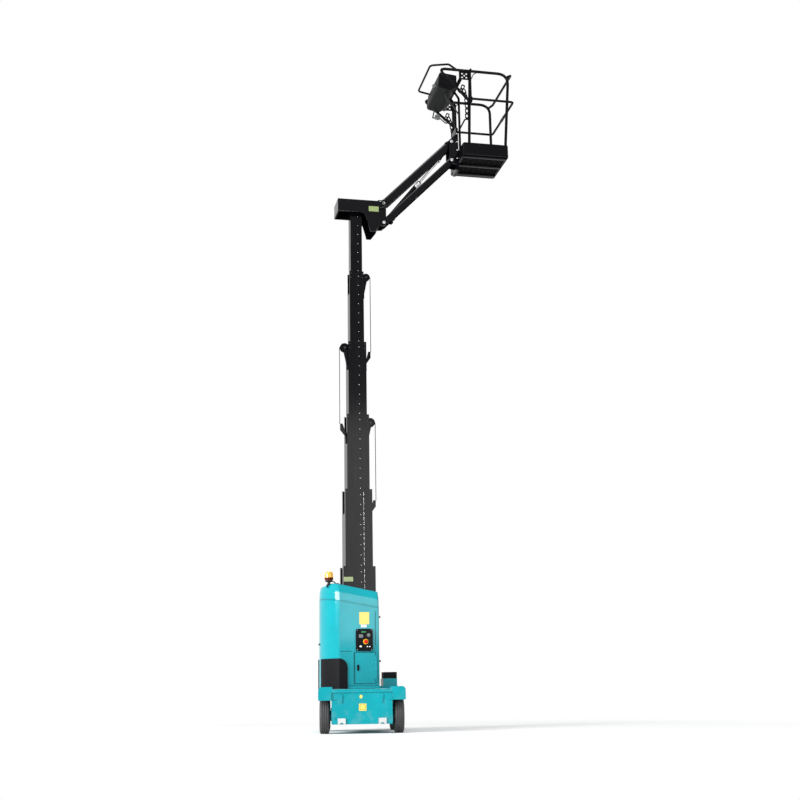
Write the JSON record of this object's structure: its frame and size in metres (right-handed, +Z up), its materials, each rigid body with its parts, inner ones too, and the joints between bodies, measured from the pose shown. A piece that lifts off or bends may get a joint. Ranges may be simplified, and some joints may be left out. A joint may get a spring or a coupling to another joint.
{
  "type": "vertical mast lift",
  "caption": "Self-propelled vertical mast lift: teal turntable on a wheeled chassis, nested telescopic mast with chains, and a parallelogram jib that carries a railed platform.",
  "frame": {"origin": "on the ground, in the middle of the machine's plan with the mast raised and the jib out", "axes": "+Z up, +X the way the jib points, along the wheel axles; +Y along the travel direction, away from the drive wheels"},
  "size_m": [2.7046, 1.7906, 8.694],
  "materials": {
    "amber": "clear moulded plastic",
    "black": "matte moulded plastic",
    "cast_iron": "raw casting",
    "chrome": "polished",
    "console_grey": "matte moulded plastic",
    "hub_grey": "satin paint",
    "jib_black": "gloss black paint",
    "mast_black": "black anodised extrusion",
    "rail_black": "satin black coated tube",
    "rubber": "solid rubber",
    "steel": "brushed",
    "teal": "gloss paint"
  },
  "bodies": {
    "chassis": {"chassis_frame": "teal", "chassis_deck": "teal", "tie_plate_left": "steel", "tie_plate_right": "steel", "slew_ring": "steel"},
    "turntable": {"turntable_deck": "teal", "hood_shell": "teal", "hood_cap": "teal", "corner_moulding_near": "black", "corner_moulding_far": "black", "battery_block_near": "black", "battery_block_far": "black", "counterweight": "cast_iron", "ground_control_panel": "black", "rest_pedestal": "teal", "rest_pad": "black", "beacon_base": "black", "beacon_lens": "amber", "mast_section_0": "mast_black"},
    "door_near": {"side_door_near": "teal"},
    "door_far": {"side_door_far": "teal"},
    "knuckle_left": {"steer_knuckle_left": "cast_iron"},
    "knuckle_right": {"steer_knuckle_right": "cast_iron"},
    "jib_upper": {"jib_upper": "jib_black"},
    "jib_lower": {"jib_lower": "jib_black"},
    "cylinder_barrel": {"jib_cylinder_barrel": "jib_black"},
    "cylinder_rod": {"jib_cylinder_rod": "chrome"},
    "platform": {"platform_bracket": "jib_black", "platform_floor": "rail_black", "guardrail": "rail_black", "platform_console": "console_grey"},
    "entry_bar": {"entry_bar": "rail_black"},
    "wheel_near_left": {"tyre_near_left": "rubber", "hub_near_left": "hub_grey"},
    "wheel_near_right": {"tyre_near_right": "rubber", "hub_near_right": "hub_grey"},
    "wheel_far_left": {"tyre_far_left": "rubber", "hub_far_left": "hub_grey"},
    "wheel_far_right": {"tyre_far_right": "rubber", "hub_far_right": "hub_grey"},
    "stage_1": {"mast_section_1": "mast_black", "lift_chain_2": "steel"},
    "stage_2": {"mast_section_2": "mast_black", "chain_pulley_2": "black", "lift_chain_3": "steel"},
    "stage_3": {"mast_section_3": "mast_black", "chain_pulley_3": "black", "lift_chain_4": "steel"},
    "stage_4": {"mast_section_4": "mast_black", "chain_pulley_4": "black"},
    "stage_5": {"mast_section_5": "mast_black", "mast_head": "jib_black"}
  },
  "joints": [
    {"name": "slew", "type": "hinge", "parent": "chassis", "child": "turntable", "pos_m": [-0.72666, 0, 0.5], "axis": [0, 0, 1], "range_deg": [-181.7, 163.3]},
    {"name": "mast_1", "type": "slide", "parent": "turntable", "child": "stage_1", "axis": [0, 0, 1], "range_m": [-0.94, 0]},
    {"name": "mast_2", "type": "slide", "parent": "stage_1", "child": "stage_2", "axis": [0, 0, 1], "range_m": [-0.94, 0], "deforming": ["lift_chain_2"]},
    {"name": "mast_3", "type": "slide", "parent": "stage_2", "child": "stage_3", "axis": [0, 0, 1], "range_m": [-0.94, 0], "deforming": ["lift_chain_3"]},
    {"name": "mast_4", "type": "slide", "parent": "stage_3", "child": "stage_4", "axis": [0, 0, 1], "range_m": [-0.94, 0], "deforming": ["lift_chain_4"]},
    {"name": "mast_5", "type": "slide", "parent": "stage_4", "child": "stage_5", "axis": [0, 0, 1], "range_m": [-0.94, 0]},
    {"name": "jib_lift", "type": "hinge", "parent": "stage_5", "child": "jib_upper", "pos_m": [-0.38666, 0, 6.75], "axis": [0, -1, 0], "range_deg": [-100.5, 24.5]},
    {"name": "jib_link", "type": "hinge", "parent": "stage_5", "child": "jib_lower", "pos_m": [-0.38666, 0, 6.48], "axis": [0, -1, 0], "range_deg": [-100.5, 24.5]},
    {"name": "platform_level", "type": "hinge", "parent": "jib_upper", "child": "platform", "pos_m": [0.56658, 0, 7.72002], "axis": [0, -1, 0], "range_deg": [-24.5, 100.5]},
    {"name": "cylinder_swing", "type": "hinge", "parent": "stage_5", "child": "cylinder_barrel", "pos_m": [-0.35666, 0, 6.52], "axis": [0, -1, 0], "range_deg": [-98.2, 23.95]},
    {"name": "cylinder_stroke", "type": "slide", "parent": "cylinder_barrel", "child": "cylinder_rod", "axis": [0.6244, 0, 0.7811], "range_m": [-0.36459, 0.08896]},
    {"name": "entry_bar_lift", "type": "slide", "parent": "platform", "child": "entry_bar", "axis": [0, 0, 1], "range_m": [0, 0.36]},
    {"name": "steer_left", "type": "hinge", "parent": "chassis", "child": "knuckle_left", "pos_m": [-0.96635, 0.64664, 0.2], "axis": [0, 0, 1], "range_deg": [-32, 32]},
    {"name": "steer_right", "type": "hinge", "parent": "chassis", "child": "knuckle_right", "pos_m": [-0.2951, 0.53792, 0.2], "axis": [0, 0, 1], "range_deg": [-32, 32]},
    {"name": "roll_near_left", "type": "hinge", "parent": "chassis", "child": "wheel_near_left", "pos_m": [-1.24459, -0.52393, 0.2], "axis": [0.9871, -0.1599, 0], "continuous": true},
    {"name": "roll_near_right", "type": "hinge", "parent": "chassis", "child": "wheel_near_right", "pos_m": [-0.40058, -0.66063, 0.2], "axis": [0.9871, -0.1599, 0], "continuous": true},
    {"name": "roll_far_left", "type": "hinge", "parent": "knuckle_left", "child": "wheel_far_left", "pos_m": [-1.05273, 0.66063, 0.2], "axis": [0.9871, -0.1599, 0], "continuous": true},
    {"name": "roll_far_right", "type": "hinge", "parent": "knuckle_right", "child": "wheel_far_right", "pos_m": [-0.20873, 0.52393, 0.2], "axis": [0.9871, -0.1599, 0], "continuous": true},
    {"name": "door_near_swing", "type": "hinge", "parent": "turntable", "child": "door_near", "pos_m": [-0.60766, -0.393, 0.56], "axis": [0, 0, 1], "range_deg": [0, 100]},
    {"name": "door_far_swing", "type": "hinge", "parent": "turntable", "child": "door_far", "pos_m": [-0.60766, 0.393, 0.56], "axis": [0, 0, 1], "range_deg": [-100, 0]}
  ],
  "couplings": [
    {"joint": "mast_2", "follows": "mast_1", "ratio": 1},
    {"joint": "mast_3", "follows": "mast_1", "ratio": 1},
    {"joint": "mast_4", "follows": "mast_1", "ratio": 1},
    {"joint": "mast_5", "follows": "mast_1", "ratio": 1},
    {"joint": "jib_link", "follows": "jib_lift", "ratio": 1},
    {"joint": "platform_level", "follows": "jib_lift", "ratio": -1},
    {"joint": "cylinder_swing", "follows": "jib_lift", "ratio": 0.977},
    {"joint": "cylinder_stroke", "follows": "jib_lift", "m_per_rad": 0.2078},
    {"joint": "steer_right", "follows": "steer_left", "ratio": 1}
  ]
}
